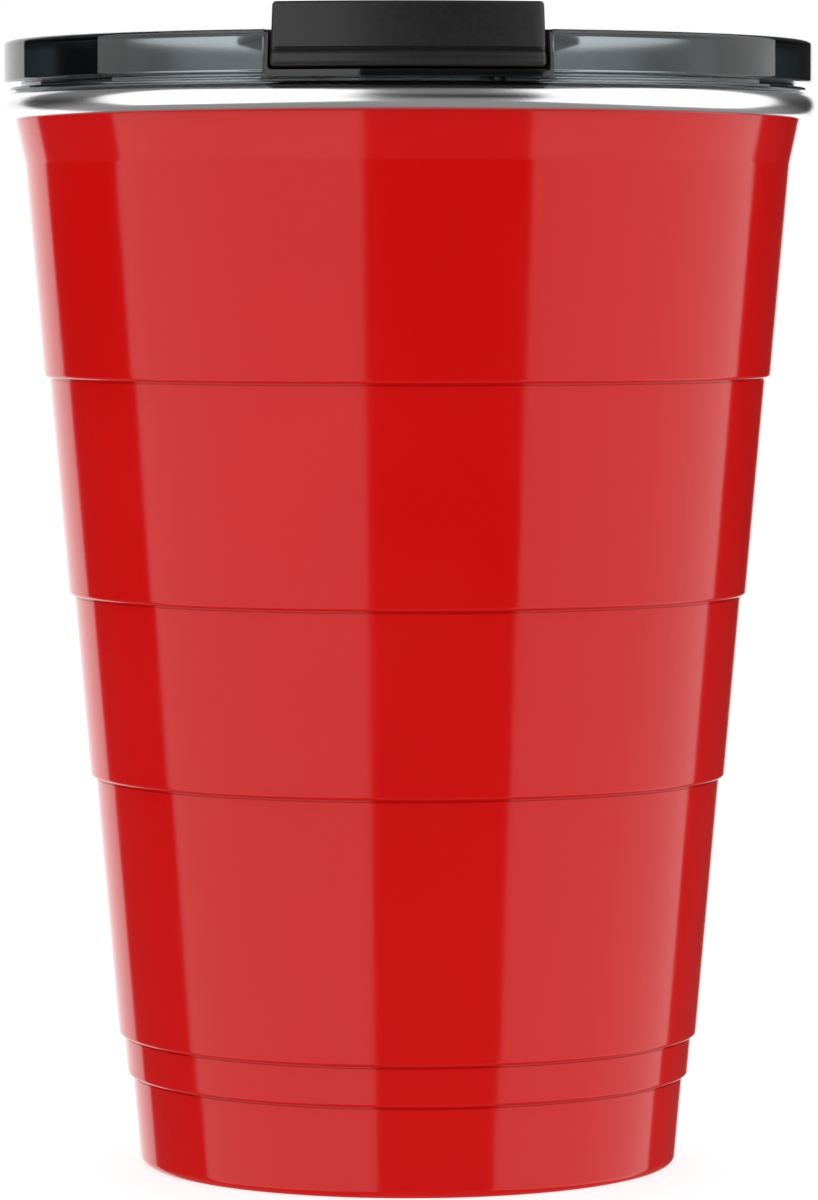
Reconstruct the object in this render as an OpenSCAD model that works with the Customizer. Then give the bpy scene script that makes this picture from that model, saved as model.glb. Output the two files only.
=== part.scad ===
// Insulated tumbler: a stepped, tapered double wall of steel sheet with a rolled bright rim,
// a push-in smoked lid with a silicone ring, and a flip-up closure over the drinking opening.
// Millimetres. The origin is the centre of the base, +Z is up and the closure faces -Y.

/* [Outer wall] */
// Outside radius that the lowest tier would have at the very bottom
base_r = 34.7; // [33:0.1:38]
// Angle of every tier's side from the vertical
taper_deg = 5; // [4:0.1:6]
// Thickness of the steel sheet of both walls
wall_t = 0.5; // [0.4:0.05:0.7]
// Height of the lowest step
step_1_z = 11.7; // [9:0.1:13.5]
// Height of the second step
step_2_z = 16.9; // [15.5:0.1:30]
// Height of the third step
step_3_z = 50.35; // [40:0.05:60]
// Height of the fourth step
step_4_z = 73.8; // [65:0.1:85]
// Height of the highest step
step_5_z = 101.75; // [95:0.05:110]
// How far each step sets the wall back
step_in = 0.65; // [0.4:0.05:0.9]
// Radius of the rounded lower edge of each tier
step_round = 0.45; // [0.2:0.05:0.6]
// Depth of the fine groove under each step
notch_d = 0.12; // [0.05:0.01:0.2]
// Height of the fine groove under each step
notch_h = 0.28; // [0.15:0.01:0.4]
// Height at which the wall flares out towards the mouth
shoulder_z = 129; // [122:0.5:135]
// Height of the flare
flare_h = 5.8; // [4:0.1:8]
// Angle of the flare from the vertical
flare_deg = 12.1; // [8:0.1:13]
// Outside radius of the bend at the foot
foot_round = 1.2; // [0.8:0.1:1.6]
// Width of the flat foot that is turned in under the wall
foot_w = 2.4; // [1.8:0.1:3]

/* [Base] */
// Thickness of the base disc
base_t = 0.6; // [0.4:0.05:0.8]
// How high the middle of the base disc is set up from its rim
base_rise = 2.1; // [1.5:0.1:2.6]
// Width of the sloping wall between the rim and the middle
base_slope_w = 2.5; // [1.5:0.1:4]
// Radius of the dimple for the vacuum seal
dimple_r = 5; // [4:0.1:7]
// Depth of the dimple
dimple_d = 1; // [0.6:0.1:1.2]
// Radius of the hole that the air was drawn out through
seal_hole_r = 0.8; // [0.6:0.05:1.1]
// Radius of the seal bead over that hole
seal_r = 2.6; // [2:0.1:3]
// Radius of the getter tablet
getter_r = 5; // [3:0.1:6]
// Thickness of the getter tablet
getter_t = 1.5; // [1:0.1:2]
// Distance of the getter tablet from the middle
getter_x = 14; // [13:0.5:18]

/* [Liner and rim] */
// Least gap between the two walls
vacuum_gap = 3; // [2.5:0.1:4]
// Inside height of the liner's floor above the foot
floor_z = 8.2; // [8:0.1:12]
// Inside radius of the bend between the floor and the side
floor_round = 4; // [2:0.5:6]
// Depth of the straight mouth below the rim's top
mouth_depth = 11; // [10:0.5:14]
// Height of the neck between the mouth and the tapered side
neck_h = 4; // [3:0.5:6]
// Height of the bright rolled rim above the paint
rim_h = 3.5; // [2.8:0.1:3.6]
// How far the rim stands out past the painted wall
rim_out = 1.75; // [1.6:0.05:2]
// Gap left between the two walls at the foot of the straight mouth
mouth_gap = 0.3; // [0.2:0.05:0.6]
// Width of the narrow flat along the rim's crown
rim_flat = 0.7; // [0.4:0.1:0.9]

/* [Lid] */
// Gap between the lid's flange and the crown of the rim
seat_gap = 0.1; // [0.05:0.05:0.2]
// How far the lid's band lies inside the rim's outermost line
band_in = 0.2; // [0.1:0.05:0.5]
// Height of the lid's band
band_h = 5.35; // [4.8:0.05:7]
// Width of the thick ring behind the band, from its outside to the recess
band_w = 15.5; // [14:0.1:17]
// Radius of the band's edges
band_round = 0.45; // [0.2:0.05:0.6]
// Thickness of the flange that sits on the rim
flange_t = 0.35; // [0.3:0.05:0.5]
// How far the flange lies inside the band's outside
flange_in = 0.7; // [0.5:0.1:1.2]
// Height of the groove between the flange and the band
groove_h = 0.6; // [0.4:0.1:0.8]
// How far that groove goes in from the band's outside
groove_in = 2.2; // [1.5:0.1:2.4]
// Depth of the recess in the lid's top
recess_d = 6.8; // [6.2:0.1:7.4]
// Thickness of the lid's floor and of the wall round it
lid_floor_t = 1.6; // [1.2:0.1:1.8]
// How far the land that holds the drinking opening reaches into the recess
land_in = 8; // [6:0.5:10]
// Gap between the lid's skirt and the mouth
skirt_gap = 0.8; // [0.6:0.1:1]
// Thickness of the skirt at its thickest
skirt_t = 3.1; // [2.8:0.1:3.4]
// Distance from the skirt's lower edge to where the mouth narrows
skirt_clear = 2; // [1.5:0.1:2.4]
// Radius of the vent hole
vent_r = 1.1; // [0.8:0.1:1.5]
// Distance of the vent hole from the middle
vent_y = 30; // [26:1:33]

/* [Silicone ring] */
// Depth of the ring's seat in the skirt
ring_seat_d = 1.5; // [1.2:0.1:1.7]
// Height of the ring
ring_h = 3.4; // [3:0.1:4]
// Height of each of the ring's two lips
lip_h = 1.1; // [0.8:0.1:1.3]
// Gap between the ring's lips and the mouth
ring_gap = 0.08; // [0.05:0.01:0.15]

/* [Drinking opening] */
// Width of the opening
open_w = 22; // [16:0.5:24]
// Depth of the opening from front to back
open_d = 8; // [7:0.5:9]
// Distance from the opening's front edge to the inside of the skirt
open_edge = 2.3; // [2:0.1:4]
// How far the seal pad reaches past the opening's edge
pad_over = 1.5; // [1:0.1:2]
// Depth of the pad's seat in the closure
pad_seat_d = 0.8; // [0.5:0.1:1]

/* [Closure] */
// Width of the closure's front block at its bottom
block_w = 33.4; // [28:0.1:36]
// How much narrower each side of the block is at its top
block_draft = 0.3; // [0.1:0.05:0.6]
// Height of the block above the lid's band
block_rise = 3.3; // [2.5:0.1:4]
// Height of the block's underside above the band's lower edge
block_foot = 0.75; // [0.6:0.05:1]
// How far the block's face stands out past the band
block_out = 1.2; // [0.8:0.1:1.6]
// Thickness of the block from front to back
block_t = 5.6; // [5:0.1:6.5]
// Height of the crease above the block's underside
crease_up = 2.1; // [1.8:0.1:2.4]
// Depth of the crease
crease_d = 0.3; // [0.15:0.05:0.4]
// How far the finger lip below the crease stands out past the face
lip_out = 0.45; // [0.2:0.05:0.7]
// Radius of the block's edges
block_round = 0.5; // [0.3:0.05:0.6]
// Running gap around the closure
closure_gap = 0.3; // [0.25:0.05:0.4]
// Wall thickness of the black frame that lines the pocket round the block
frame_w = 0.5; // [0.4:0.05:0.65]
// How much thicker the frame's bottom is than its sides
frame_drop = 0.4; // [0.2:0.05:0.4]
// How far the frame stands out past the band
frame_out = 0.6; // [0.3:0.05:0.7]
// Distance of the frame's top below the band's top
frame_top_in = 0.4; // [0.2:0.1:0.8]
// Share of the recess's radius that the channel behind the block reaches in to
channel_in = 0.8; // [0.75:0.01:0.85]
// Thickness of the closure's round plate
plate_t = 2.2; // [1.8:0.1:2.4]
// Height of the plate's underside above the land
plate_up = 2.7; // [2.2:0.1:3]
// Gap between the plate's front and the recess
plate_gap = 1.5; // [1:0.1:3]
// Width of the slope under the plate's edge
plate_slope_w = 5; // [3:0.5:7]
// Thickness of the plate at its edge
plate_edge_t = 0.9; // [0.6:0.1:1.2]

/* [Hinge] */
// Distance of the hinge behind the lid's middle
hinge_y = 9.5; // [7:0.5:12]
// Height of the hinge's axis above the lid's floor
hinge_up = 6.1; // [5.9:0.1:6.4]
// Radius of the hinge pin
pin_r = 1; // [0.8:0.05:1.2]
// Gap between the pin and the closure's bore, all round
pin_gap = 0.05; // [0.03:0.01:0.08]
// Radius of the closure's barrel around the pin
barrel_r = 2.5; // [2.2:0.1:2.6]
// Length of the barrel
barrel_w = 18.2; // [14:0.2:22]
// Thickness of each ear on the lid
ear_t = 2.8; // [2:0.1:3.5]
// Angle at which the closure's heel stops it
open_deg = 105; // [95:1:110]
// How far the heel reaches out behind the pin when the closure is open
heel_back = 2; // [1.6:0.1:2.2]
// Gap between the heel and the lid's floor when the closure is open
heel_gap = 0.2; // [0.1:0.05:0.3]

/* [Hidden] */
$fn = 96;

// Number of straight pieces in a small rounded edge
bend_n = 5;
// A length that carries a cut past a face
past = 1;

// Heights, from the foot upwards
paint_z = shoulder_z + flare_h;
rim_z = paint_z + rim_h;
lid_z = rim_z + seat_gap;
band_z = lid_z + flange_t + groove_h;
band_top_z = band_z + band_h;
lid_floor_z = band_top_z - recess_d;
lid_under_z = lid_floor_z - lid_floor_t;
land_z = band_z + block_foot - closure_gap;
mouth_z = rim_z - mouth_depth;
neck_z = mouth_z - neck_h;
skirt_z = mouth_z + skirt_clear;

// Radii, from the wall outwards and inwards
step_zs = [step_1_z, step_2_z, step_3_z, step_4_z, step_5_z];
step_n = len(step_zs);
function tier_r(tier, z) = base_r + tier * step_in + z * tan(taper_deg);
shoulder_r = tier_r(step_n, shoulder_z);
paint_r = shoulder_r + flare_h * tan(flare_deg);
rim_r = paint_r + rim_out;
mouth_r = tier_r(step_n, mouth_z) - mouth_gap - 2 * wall_t;
band_r = rim_r - band_in;
recess_r = band_r - band_w;
skirt_r = mouth_r - skirt_gap;
skirt_in_r = skirt_r - skirt_t;
recess_wall_r = recess_r + lid_floor_t;
ring_seat_r = skirt_r - ring_seat_d;
liner_top_r = tier_r(step_n, neck_z) - vacuum_gap - 2 * wall_t;
liner_base_r = tier_r(0, floor_z) - vacuum_gap - 2 * wall_t;
foot_flat_r = tier_r(0, 0) - foot_round;
foot_in_r = foot_flat_r - foot_w;

// The silicone ring's place on the skirt
ring_z = skirt_z + (lid_z - skirt_z - ring_h) / 2;
ring_r = mouth_r - ring_gap;

// The closure's places
face_r = band_r + block_out;
block_back_y = -(face_r - block_t);
block_z = band_z + block_foot;
block_top_z = band_top_z + block_rise;
crease_z = block_z + crease_up;
pocket_back_y = block_back_y + closure_gap;
frame_back_y = pocket_back_y + frame_w;
frame_r = band_r + frame_out;
frame_top_z = band_top_z - frame_top_in;
plate_z = land_z + plate_up;
hinge_z = lid_floor_z + hinge_up;
ear_r = barrel_r + closure_gap;
ears_w = barrel_w + 2 * (closure_gap + ear_t);
plate_back_y = hinge_y - ear_r - closure_gap;
plate_front_y = -recess_r + band_round + plate_gap;
plate_r = (plate_back_y - plate_front_y) / 2;
plate_y = (plate_back_y + plate_front_y) / 2;
open_y = -(skirt_in_r - open_edge - open_d / 2);
bridge_w = block_w - 2 * (block_draft + closure_gap + block_round);
tongue_w = barrel_w - 2 * closure_gap;

// Points of an arc about (x, y), from angle a0 to a1
function arc(x, y, r, a0, a1) =
    [for (i = [0:bend_n]) let (a = a0 + (a1 - a0) * i / bend_n) [x + r * cos(a), y + r * sin(a)]];

// One step of the outer wall, from the tier below to the tier above
function step_points(i) =
    let (
        z = step_zs[i],
        low = tier_r(i, z - notch_h),
        high = tier_r(i + 1, z + step_round)
    )
    concat(
        [[low, z - notch_h], [low - notch_d, z - notch_h], [low - notch_d, z]],
        arc(high - step_round, z + step_round, step_round, -90, 0)
    );

// The same step on the inside of the sheet, from the tier above to the tier below
function inner_step_points(i) =
    let (z = step_zs[i] + wall_t)
    [[tier_r(i + 1, z) - wall_t, z], [tier_r(i, z) - wall_t, z]];

function shell_points() = concat(
    [[foot_in_r, 0]],
    arc(foot_flat_r, foot_round, foot_round, -90, 0),
    [for (i = [0:step_n - 1]) each step_points(i)],
    [[shoulder_r, shoulder_z], [paint_r, paint_z], [paint_r, rim_z - wall_t]],
    [[paint_r - wall_t, rim_z - wall_t], [paint_r - wall_t, paint_z]],
    [[shoulder_r - wall_t, shoulder_z]],
    [for (i = [step_n - 1:-1:0]) each inner_step_points(i)],
    arc(foot_flat_r, foot_round, foot_round - wall_t, 0, -90),
    [[foot_in_r, wall_t]]
);

// The neck's gentle S between the tapered side and the mouth, set off by the sheet
function neck_points(off, up) =
    let (n = 2 * bend_n)
    [for (k = [0:n])
        let (i = up ? k : n - k, s = (1 - cos(180 * i / n)) / 2)
        [liner_top_r + (mouth_r - liner_top_r) * s + off, neck_z + neck_h * i / n]];

// The bright rim from the paint line, out over the bead and in to the mouth
function rim_points() =
    let (
        bead_r = rim_h / 2,
        crown_out = rim_r - bead_r,
        crown_in = mouth_r + bead_r
    )
    concat(
        [[paint_r, paint_z]],
        arc(crown_out, paint_z + bead_r, bead_r, -80, 60),
        [[crown_in + (crown_out - crown_in + rim_flat) / 2, rim_z]],
        [[crown_in + (crown_out - crown_in - rim_flat) / 2, rim_z]],
        arc(crown_in, paint_z + bead_r, bead_r, 120, 180)
    );

function liner_points() = concat(
    [[0, floor_z - wall_t]],
    arc(liner_base_r - floor_round, floor_z + floor_round, floor_round + wall_t, -90, 0),
    neck_points(wall_t, true),
    [[mouth_r + wall_t, rim_z - wall_t], [paint_r, rim_z - wall_t]],
    rim_points(),
    neck_points(0, false),
    arc(liner_base_r - floor_round, floor_z + floor_round, floor_round, 0, -90),
    [[0, floor_z]]
);

function base_points(up) =
    let (
        rim = foot_flat_r,
        flat = rim - foot_w - 0.5,
        mid = flat - base_slope_w
    )
    [
        [rim, wall_t + up], [flat, wall_t + up], [mid, wall_t + base_rise + up],
        [dimple_r, wall_t + base_rise + up], [dimple_r - dimple_d, wall_t + base_rise + dimple_d + up],
        [seal_hole_r, wall_t + base_rise + dimple_d + up]
    ];

function lid_points() = concat(
    [[0, lid_under_z], [recess_wall_r, lid_under_z], [recess_wall_r, band_z]],
    [[skirt_in_r, band_z], [skirt_in_r, skirt_z], [skirt_r, skirt_z]],
    [[skirt_r, ring_z], [ring_seat_r, ring_z], [ring_seat_r, ring_z + ring_h], [skirt_r, ring_z + ring_h]],
    [[skirt_r, lid_z], [band_r - flange_in, lid_z], [band_r - flange_in, lid_z + flange_t]],
    [[band_r - groove_in, lid_z + flange_t], [band_r - groove_in, band_z]],
    arc(band_r - band_round, band_z + band_round, band_round, -90, 0),
    arc(band_r - band_round, band_top_z - band_round, band_round, 0, 90),
    arc(recess_r + band_round, band_top_z - band_round, band_round, 90, 180),
    arc(recess_r - band_round, lid_floor_z + band_round, band_round, 0, -90),
    [[0, lid_floor_z]]
);

// Front outline of the block with its sides drawn in towards the top, grown by a gap and by a drop
// at the bottom. Its corners are round, and the sides run on past the top when it cuts the pocket.
module block_outline(gap, top_z, drop = 0) {
    draft = block_draft / (block_top_z - block_z);
    low = block_w / 2 + gap;
    high = low - draft * (top_z - block_z);
    foot_z = block_z - gap - drop;
    polygon(concat(
        arc(low - block_round, foot_z + block_round, block_round, -90, 0),
        arc(high - block_round, top_z - block_round, block_round, 0, 90),
        arc(-high + block_round, top_z - block_round, block_round, 90, 180),
        arc(-low + block_round, foot_z + block_round, block_round, 180, 270)
    ));
}

// Stands an outline drawn in X and Z up and runs it along Y from y0 to y1
module along_y(y0, y1) {
    translate([0, y1, 0]) rotate([90, 0, 0]) linear_extrude(y1 - y0) children();
}

// A slot with round ends, w wide and d from front to back, between two heights
module slot(w, d, z0, z1) {
    translate([0, open_y, z0]) linear_extrude(z1 - z0) {
        square([w - d, d], center = true);
        for (s = [-1, 1]) translate([s * (w - d) / 2, 0]) circle(d / 2);
    }
}

// A cylinder of length w along the hinge's axis, with one end at x0
module on_hinge(r, x0, w) {
    translate([x0, hinge_y, hinge_z]) rotate([0, 90, 0]) cylinder(r = r, h = w);
}

module outer_shell() {
    color("crimson") rotate_extrude() polygon(shell_points());
}

module inner_liner() {
    color("gainsboro") rotate_extrude() polygon(liner_points());
}

module base_disc() {
    top = base_points(base_t);
    color("silver") rotate_extrude()
        polygon(concat(base_points(0), [for (i = [len(top) - 1:-1:0]) top[i]]));
}

module seal_bead() {
    under_z = wall_t + base_rise + dimple_d;
    drop = dimple_d * 0.7;
    stub = base_t * 0.8;
    color("dimgray") rotate_extrude() polygon([
        [0, under_z - drop], [seal_r * 0.6, under_z - drop], [seal_r, under_z - drop * 0.4],
        [seal_r, under_z], [seal_hole_r, under_z], [seal_hole_r, under_z + stub], [0, under_z + stub]
    ]);
}

module getter() {
    color("slategray") translate([getter_x, 0, wall_t + base_rise + base_t])
        cylinder(r = getter_r, h = getter_t);
}

// The space in the lid that the frame fills and lines
module frame_space() {
    along_y(-frame_r - past, frame_back_y)
        block_outline(closure_gap + frame_w, block_top_z + past, frame_drop);
}

// The frame is open at the front and the top, and its back has a notch for the closure's bridge
module pocket_frame() {
    color([0.05, 0.05, 0.05]) difference() {
        intersection() {
            translate([0, 0, lid_z]) cylinder(r = frame_r, h = frame_top_z - lid_z);
            frame_space();
        }
        along_y(-frame_r - past, pocket_back_y) block_outline(closure_gap, block_top_z + past);
        translate([-bridge_w / 2 - closure_gap, pocket_back_y - past, plate_z - closure_gap])
            cube([bridge_w + 2 * closure_gap, frame_w + 2 * past, block_top_z - plate_z]);
    }
}

// The raised land under the closure, with the drinking opening in it
module lid_land() {
    land_h = land_z - lid_under_z;
    translate([0, 0, lid_under_z]) intersection() {
        cylinder(r = skirt_in_r + past, h = land_h);
        translate([-block_w / 2 - frame_w, -skirt_in_r - past, 0])
            cube([block_w + 2 * frame_w, skirt_in_r + past - recess_r + land_in, land_h]);
    }
}

module lid_ear(side) {
    x0 = side > 0 ? barrel_w / 2 + closure_gap : -barrel_w / 2 - closure_gap - ear_t;
    on_hinge(ear_r, x0, ear_t);
    translate([x0, hinge_y - ear_r, lid_floor_z - lid_floor_t / 2])
        cube([ear_t, 2 * ear_r, hinge_z - lid_floor_z + lid_floor_t / 2]);
}

module lid_body() {
    color("dimgray", 0.6) difference() {
        union() {
            rotate_extrude() polygon(lid_points());
            lid_land();
            for (side = [-1, 1]) lid_ear(side);
        }
        frame_space();
        translate([-bridge_w / 2 - closure_gap, block_back_y, land_z])
            cube([bridge_w + 2 * closure_gap, -block_back_y - recess_r * channel_in, block_top_z - land_z]);
        slot(open_w, open_d, lid_under_z - past, land_z + past);
        translate([0, vent_y, lid_under_z - past]) cylinder(r = vent_r, h = lid_floor_t + 2 * past);
        on_hinge(pin_r, -ears_w / 2 - past, ears_w + 2 * past);
    }
}

module lid_gasket() {
    root = ring_seat_r + (ring_r - ring_seat_r) * 0.45;
    color("darkgray") rotate_extrude() polygon([
        [ring_seat_r, ring_z], [root, ring_z], [ring_r, ring_z + lip_h * 0.6], [ring_r, ring_z + lip_h],
        [root, ring_z + lip_h + 0.2], [root, ring_z + ring_h - lip_h - 0.2],
        [ring_r, ring_z + ring_h - lip_h * 0.6], [ring_r, ring_z + ring_h - lip_h * 0.2],
        [root, ring_z + ring_h], [ring_seat_r, ring_z + ring_h]
    ]);
}

// Section of the block: a plain face, the crease, and the rounded finger lip below it
function block_points() =
    let (
        lip_r = (crease_z - block_z) / 2,
        lip_x = face_r + lip_out - lip_r
    )
    concat(
        [[-block_back_y - past, block_z]],
        arc(lip_x, block_z + lip_r, lip_r, -90, 50),
        [[face_r - crease_d, crease_z], [face_r, crease_z + crease_d]],
        arc(face_r - block_round, block_top_z - block_round, block_round, 0, 90),
        [[-block_back_y - past, block_top_z]]
    );

module closure_flap() {
    color([0.14, 0.14, 0.14]) difference() {
        union() {
            intersection() {
                rotate_extrude() polygon(block_points());
                along_y(-face_r - lip_out - past, block_back_y) block_outline(0, block_top_z);
            }
            closure_plate();
            translate([-bridge_w / 2, block_back_y - past, plate_z])
                cube([bridge_w, plate_y - block_back_y + past, plate_t]);
            translate([-tongue_w / 2, hinge_y - plate_r / 2, plate_z])
                cube([tongue_w, plate_r / 2, plate_t]);
            on_hinge(barrel_r, -barrel_w / 2, barrel_w);
            closure_heel();
        }
        on_hinge(pin_r + pin_gap, -barrel_w / 2 - past, barrel_w + 2 * past);
        slot(open_w + 2 * pad_over, open_d + 2 * pad_over, plate_z - past, plate_z + pad_seat_d);
    }
}

// The round plate, thinner towards its edge
module closure_plate() {
    slope_h = plate_t - plate_edge_t;
    translate([0, plate_y, plate_z]) {
        cylinder(r1 = plate_r - plate_slope_w, r2 = plate_r, h = slope_h);
        translate([0, 0, slope_h]) cylinder(r = plate_r, h = plate_edge_t);
    }
}

// The heel is drawn as it stands when the closure is open, flat above the lid's floor,
// and turned back to the closed place. Its front corner clears the floor as it swings.
module closure_heel() {
    reach = hinge_up - heel_gap;
    front = sqrt(hinge_up * hinge_up - reach * reach) * 0.8;
    thick = reach - pin_r - pin_gap - heel_gap;
    translate([0, hinge_y, hinge_z]) rotate([open_deg, 0, 0])
        translate([-tongue_w / 2, -front, -reach]) cube([tongue_w, front + heel_back, thick]);
}

module closure_seal() {
    color("gray") slot(open_w + 2 * pad_over, open_d + 2 * pad_over,
        land_z + closure_gap, plate_z + pad_seat_d);
}

module hinge_pin() {
    color("silver") on_hinge(pin_r, -ears_w / 2, ears_w);
}

outer_shell();
inner_liner();
base_disc();
seal_bead();
getter();
lid_body();
pocket_frame();
lid_gasket();
closure_flap();
closure_seal();
hinge_pin();
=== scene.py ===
"""A stepped steel tumbler with a smoked push-in lid, dressed over its CAD frame.

The CAD model gives the frame, and each solid in it is redrawn here with its bends, its moulded
edges and its finish. Lengths are in millimetres and are made metres where a mesh is written.
"""

from math import radians, tan

import bmesh
import bpy
import numpy as np
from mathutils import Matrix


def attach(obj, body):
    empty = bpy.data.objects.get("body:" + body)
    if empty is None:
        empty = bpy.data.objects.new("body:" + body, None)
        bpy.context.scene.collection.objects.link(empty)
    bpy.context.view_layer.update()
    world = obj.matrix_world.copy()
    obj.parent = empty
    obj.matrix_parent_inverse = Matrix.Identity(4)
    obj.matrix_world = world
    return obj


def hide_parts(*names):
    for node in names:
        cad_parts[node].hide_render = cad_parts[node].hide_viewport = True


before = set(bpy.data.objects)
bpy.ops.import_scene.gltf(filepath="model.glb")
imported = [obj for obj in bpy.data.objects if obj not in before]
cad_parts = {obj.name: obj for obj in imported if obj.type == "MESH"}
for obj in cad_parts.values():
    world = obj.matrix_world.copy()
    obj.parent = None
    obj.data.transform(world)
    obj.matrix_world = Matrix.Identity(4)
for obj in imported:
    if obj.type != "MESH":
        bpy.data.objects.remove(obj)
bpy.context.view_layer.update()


# Outer wall

# The outer wall is one steel sheet, half a millimetre thick. It is drawn to a tapered cup, rolled
# into six tiers with a fine groove under each, flared at the mouth and turned in at the foot.
# It is sprayed red and cured, and the paint ends under the rim's bead.

wall_t = 0.5
step_zs = np.array([11.7, 16.9, 50.35, 73.8, 101.75])
step_in = 0.65
foot_r, taper_deg = 34.7, 5
groove_h, groove_in = 0.28, 0.12
foot_in = 3.6
shoulder_z, paint_z = 129.0, 134.8
flare_h, flare_deg = 5.8, 12.1
rim_h, rim_out = 3.5, 1.75
rim_z = paint_z + rim_h


def tier_r(tier, z):
    """Outside radius of a tier at a height: the lowest tier's radius, its steps and the taper."""
    return foot_r + step_in * tier + z * tan(radians(taper_deg))


def rounded(corners, bends=6, closed=True):
    """Round the corners (x, y, radius) of an outline with arcs.

    Each corner's arc touches both its sides at radius times the tangent of half the turn from
    the corner. Every straight run then gets a point close to each end, which keeps it plain.
    """
    c = np.asarray(corners, float)
    p, size = c[:, :2], c[:, 2]
    into = p - np.roll(p, 1, axis=0)
    out = np.roll(p, -1, axis=0) - p
    into /= np.linalg.norm(into, axis=1)[:, None] + 1e-12
    out /= np.linalg.norm(out, axis=1)[:, None] + 1e-12
    turn = np.arctan2(into[:, 0] * out[:, 1] - into[:, 1] * out[:, 0], (into * out).sum(1))
    if not closed:
        turn[[0, -1]] = 0
    reach = size * np.tan(np.abs(turn) / 2)
    start = p - into * reach[:, None]
    side = np.stack([-into[:, 1], into[:, 0]], 1) * np.sign(turn)[:, None]
    centre = start + side * size[:, None]
    a = turn[:, None] * np.linspace(0, 1, bends + 1)[None]
    arm = (start - centre)[:, None]
    ca, sa = np.cos(a)[..., None], np.sin(a)[..., None]
    across = np.stack([-arm[..., 1], arm[..., 0]], -1)
    pts = (centre[:, None] + arm * ca + across * sa).reshape(-1, 2)
    nxt = np.roll(pts, -1, axis=0) if closed else np.vstack([pts[1:], pts[-1:]])
    gap = nxt - pts
    length = np.linalg.norm(gap, axis=1)[:, None]
    step = gap / (length + 1e-12) * 0.06
    longer = length > 0.5
    runs = np.stack([pts, np.where(longer, pts + step, pts), np.where(longer, nxt - step, pts)], 1)
    runs = runs.reshape(-1, 2)
    apart = np.linalg.norm(np.diff(runs, axis=0, prepend=runs[:1] - 1), axis=1) > 1e-5
    return runs[apart]


def surface(name, points, wrap_u, wrap_v, sharp=32):
    """Make a mesh from a grid of points (u, v, xyz) in millimetres.

    Each cell of the grid is one face, the grid closes on itself in u or v where told, and its
    open ends are closed by the pole or the flat cap that their points meet in.
    """
    n, m = points.shape[:2]
    at = np.arange(n * m).reshape(n, m)
    if wrap_u:
        at = np.vstack([at, at[:1]])
    if wrap_v:
        at = np.hstack([at, at[:, :1]])
    quads = np.stack([at[:-1, :-1], at[1:, :-1], at[1:, 1:], at[:-1, 1:]], -1).reshape(-1, 4)
    mesh = bpy.data.meshes.new(name)
    mesh.from_pydata((points.reshape(-1, 3) * 0.001).tolist(), [], quads.tolist())
    tidy(mesh, sharp)
    obj = bpy.data.objects.new(name, mesh)
    bpy.context.scene.collection.objects.link(obj)
    return obj


def tidy(mesh, sharp):
    """Close seams and poles, point the faces outwards, and shade smooth up to the sharp angle."""
    bm = bmesh.new()
    bm.from_mesh(mesh)
    bmesh.ops.remove_doubles(bm, verts=bm.verts, dist=2e-7)
    bmesh.ops.dissolve_degenerate(bm, edges=bm.edges, dist=1e-7)
    holes = [e for e in bm.edges if e.is_boundary]
    if holes:
        bmesh.ops.holes_fill(bm, edges=holes)
    bmesh.ops.recalc_face_normals(bm, faces=bm.faces)
    bm.to_mesh(mesh)
    bm.free()
    mesh.shade_smooth()
    mesh.set_sharp_from_angle(angle=radians(sharp))


def lathe(name, profile, sectors=256, sharp=32, centre=(0, 0)):
    """Turn a profile (radius, height) about the Z axis: x = r cos a, y = r sin a, z = z.

    A profile that ends on the axis at both ends is open, any other closes on itself.
    """
    profile = np.asarray(profile, float)
    a = np.linspace(0, 2 * np.pi, sectors, endpoint=False)
    r, z = profile[:, :1], profile[:, 1:]
    grid = np.stack([centre[0] + r * np.cos(a), centre[1] + r * np.sin(a), z + 0 * a], -1)
    on_axis = profile[0, 0] < 1e-6 and profile[-1, 0] < 1e-6
    return surface(name, grid, not on_axis, True, sharp)


def wall_outline():
    """Corners of the sheet's section: up the outside tier by tier, and down the inside."""
    tiers = np.arange(5)
    low = tier_r(tiers, step_zs - groove_h)
    up = tier_r(tiers + 1, step_zs)
    zero = np.zeros(5)
    outside = np.stack([
        np.stack([low, step_zs - groove_h, zero + 0.04], 1),
        np.stack([low - groove_in, step_zs - groove_h, zero + 0.02], 1),
        np.stack([low - groove_in, step_zs, zero + 0.02], 1),
        np.stack([up, step_zs, zero + 0.45], 1),
    ], 1).reshape(-1, 3)
    zi = step_zs[::-1] + wall_t
    back = tiers[::-1]
    inside = np.stack([
        np.stack([tier_r(back + 1, zi) - wall_t, zi, zero + 0.05], 1),
        np.stack([tier_r(back, zi) - wall_t, zi, zero + 0.05], 1),
    ], 1).reshape(-1, 3)
    shoulder = tier_r(5, shoulder_z)
    mouth = shoulder + flare_h * tan(radians(flare_deg))
    foot = tier_r(0, 0)
    return np.vstack([
        [[foot - foot_in, 0, 0.1], [foot, 0, 1.2]],
        outside,
        [[shoulder, shoulder_z, 1.5], [mouth, paint_z, 0.3], [mouth, rim_z - wall_t, 0.05]],
        [[mouth - wall_t, rim_z - wall_t, 0.05], [mouth - wall_t, paint_z, 0.3]],
        [[shoulder - wall_t, shoulder_z, 1.2]],
        inside,
        [[foot - wall_t, wall_t, 0.7], [foot - foot_in, wall_t, 0.1]],
    ])


def finish(name, **sockets):
    """A material whose shader has the given values on its own sockets."""
    made = bpy.data.materials.new(name)
    made.use_nodes = True
    shader = made.node_tree.nodes["Principled BSDF"]
    for socket, value in sockets.items():
        shader.inputs[socket.replace("_", " ")].default_value = value
    return made


def node(mat, kind, **inputs):
    """Add a shader node; an input takes a value, or a (node, output) pair to link."""
    made = mat.node_tree.nodes.new(kind)
    for name, value in inputs.items():
        plug(mat, made, name.replace("_", " "), value)
    return made


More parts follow.
